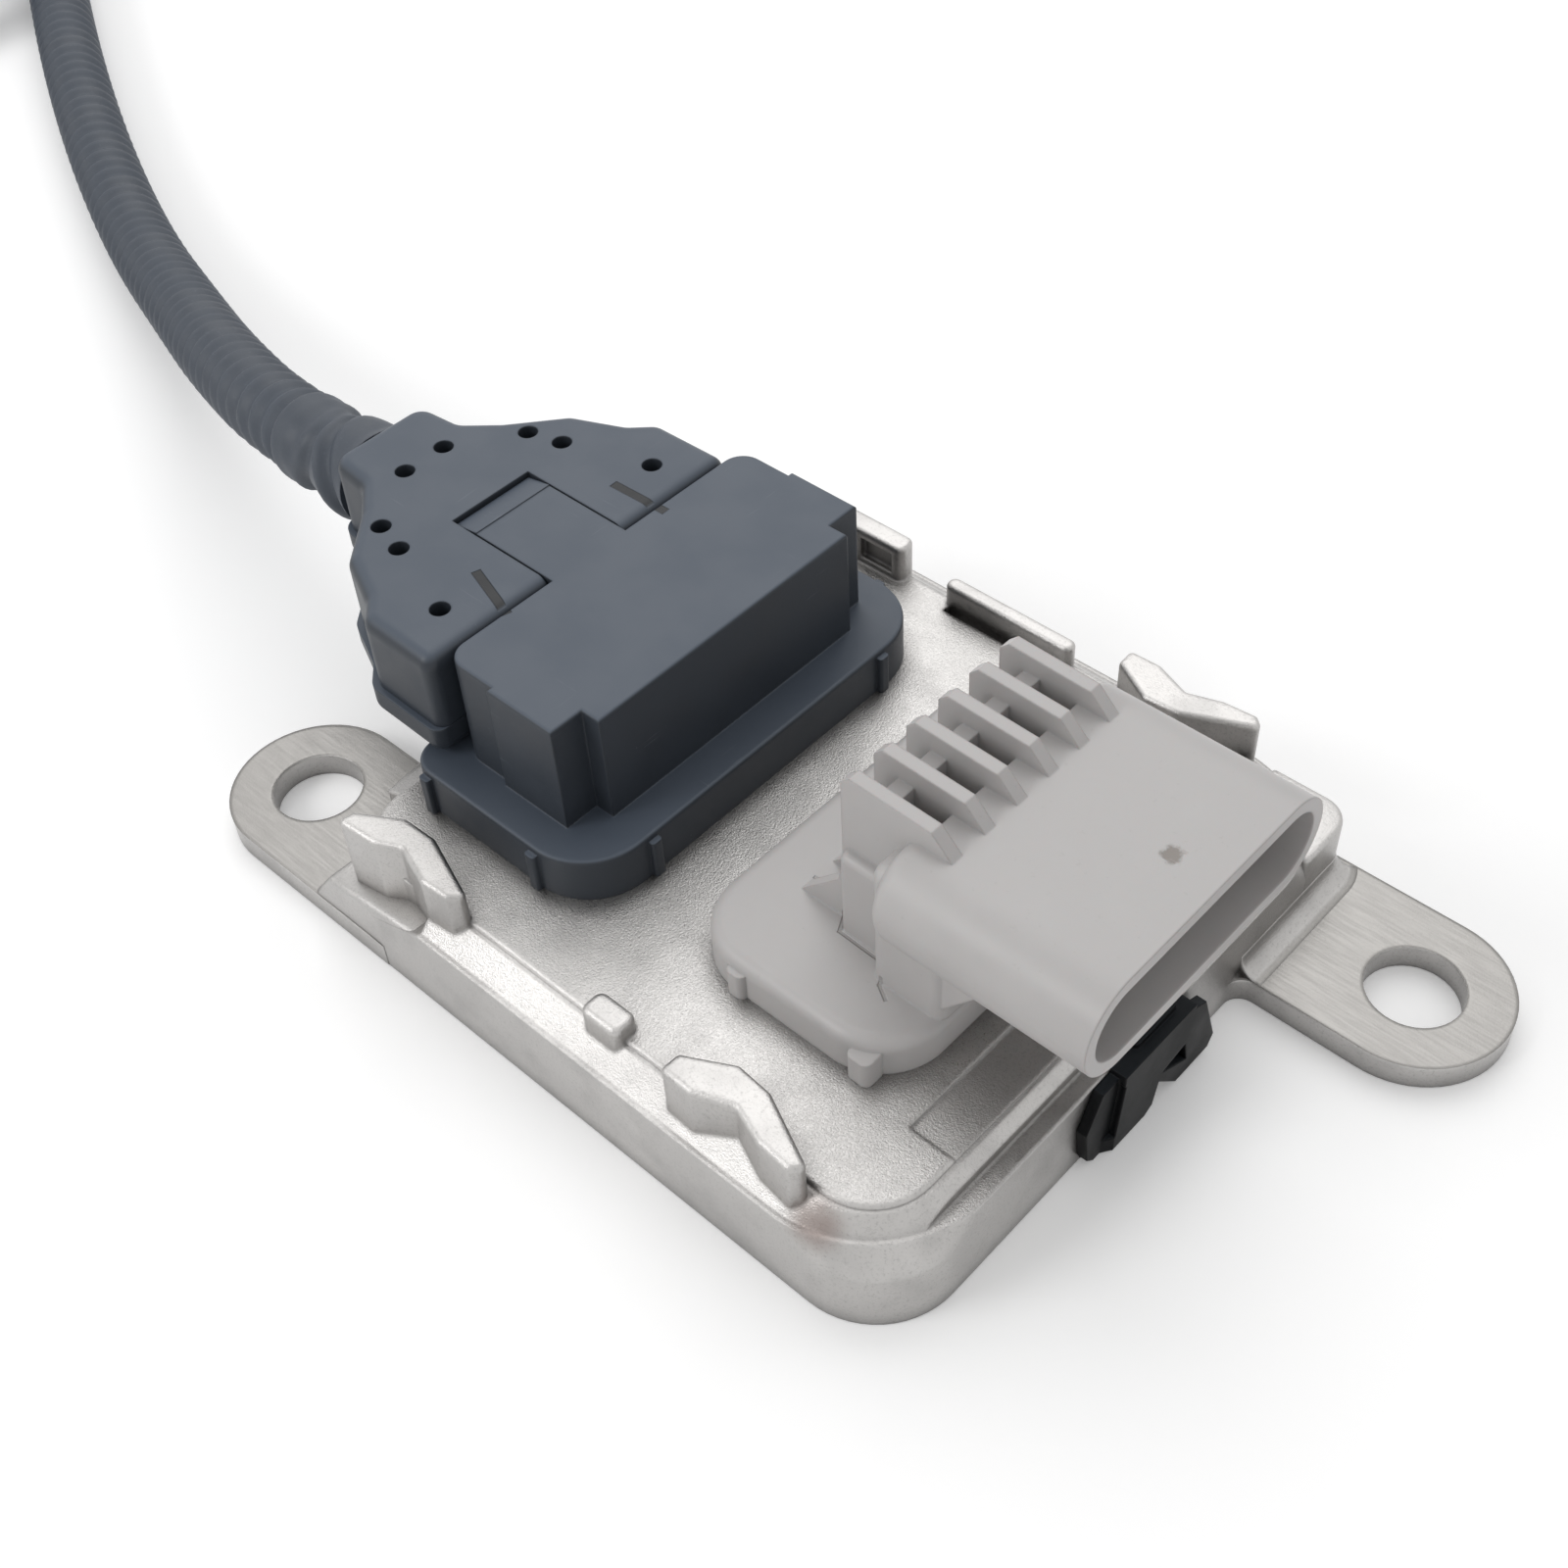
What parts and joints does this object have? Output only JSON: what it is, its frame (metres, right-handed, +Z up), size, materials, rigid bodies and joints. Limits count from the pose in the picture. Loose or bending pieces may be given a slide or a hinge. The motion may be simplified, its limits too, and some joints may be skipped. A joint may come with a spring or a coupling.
{
  "type": "nitrogen oxide sensor",
  "caption": "Exhaust nitrogen oxide sensor: flat die-cast control unit with bolt ears, ribbed grey plug header, dark lead header, ribbed conduit and threaded probe.",
  "frame": {"origin": "midway between the two bolt holes, in the plane of the housing's underside", "axes": "+X out of the plug's mouth, the way a plug is pulled off; +Y to the long side with the upright rail; +Z up out of the deck"},
  "size_m": [0.3873, 0.1334, 0.0336],
  "materials": {
    "cast_aluminium": "die-cast, satin, a little rough on the deck and brushed on the ears",
    "grey_plastic": "light warm grey, moulded",
    "dark_plastic": "dark blue-grey, moulded",
    "clip_plastic": "black, moulded",
    "conduit_rubber": "dark blue-grey, softly ribbed",
    "seal_rubber": "dark sealing rubber",
    "board_plastic": "green laminate",
    "capacitor_can": "bare metal can",
    "tinned_contact": "tinned contact metal",
    "wire_sheath": "pale wire sheath",
    "probe_steel": "stainless steel",
    "ceramic": "white ceramic"
  },
  "bodies": {
    "root": {"housing": "cast_aluminium", "base_plate": "cast_aluminium", "base_seal": "seal_rubber", "circuit_board": "board_plastic", "microcontroller": "dark_plastic", "power_chip": "dark_plastic", "capacitor_1": "capacitor_can", "capacitor_2": "capacitor_can", "plug_header": "grey_plastic", "plug_seal": "seal_rubber", "terminal_1": "tinned_contact", "terminal_2": "tinned_contact", "terminal_3": "tinned_contact", "terminal_4": "tinned_contact", "terminal_5": "tinned_contact", "lead_header": "dark_plastic", "lead_seal": "seal_rubber", "lead_contact_1": "tinned_contact", "lead_contact_2": "tinned_contact", "lead_contact_3": "tinned_contact", "lead_contact_4": "tinned_contact", "lead_contact_5": "tinned_contact", "lead_contact_6": "tinned_contact", "lead_cover_top": "dark_plastic", "lead_cover_bottom": "dark_plastic", "lead_wire_1": "wire_sheath", "lead_wire_2": "wire_sheath", "lead_wire_3": "wire_sheath", "lead_wire_4": "wire_sheath", "lead_wire_5": "wire_sheath", "lead_wire_6": "wire_sheath", "edge_clip": "clip_plastic", "conduit_wrap": "conduit_rubber", "conduit": "conduit_rubber", "conduit_coil": "conduit_rubber", "conduit_end": "conduit_rubber", "probe_grommet": "seal_rubber", "probe_sleeve": "probe_steel", "probe_body": "probe_steel", "probe_gasket": "probe_steel", "probe_shield": "probe_steel", "probe_inner_tube": "probe_steel", "probe_insulator": "ceramic", "sensing_element": "ceramic"}
  },
  "joints": []
}
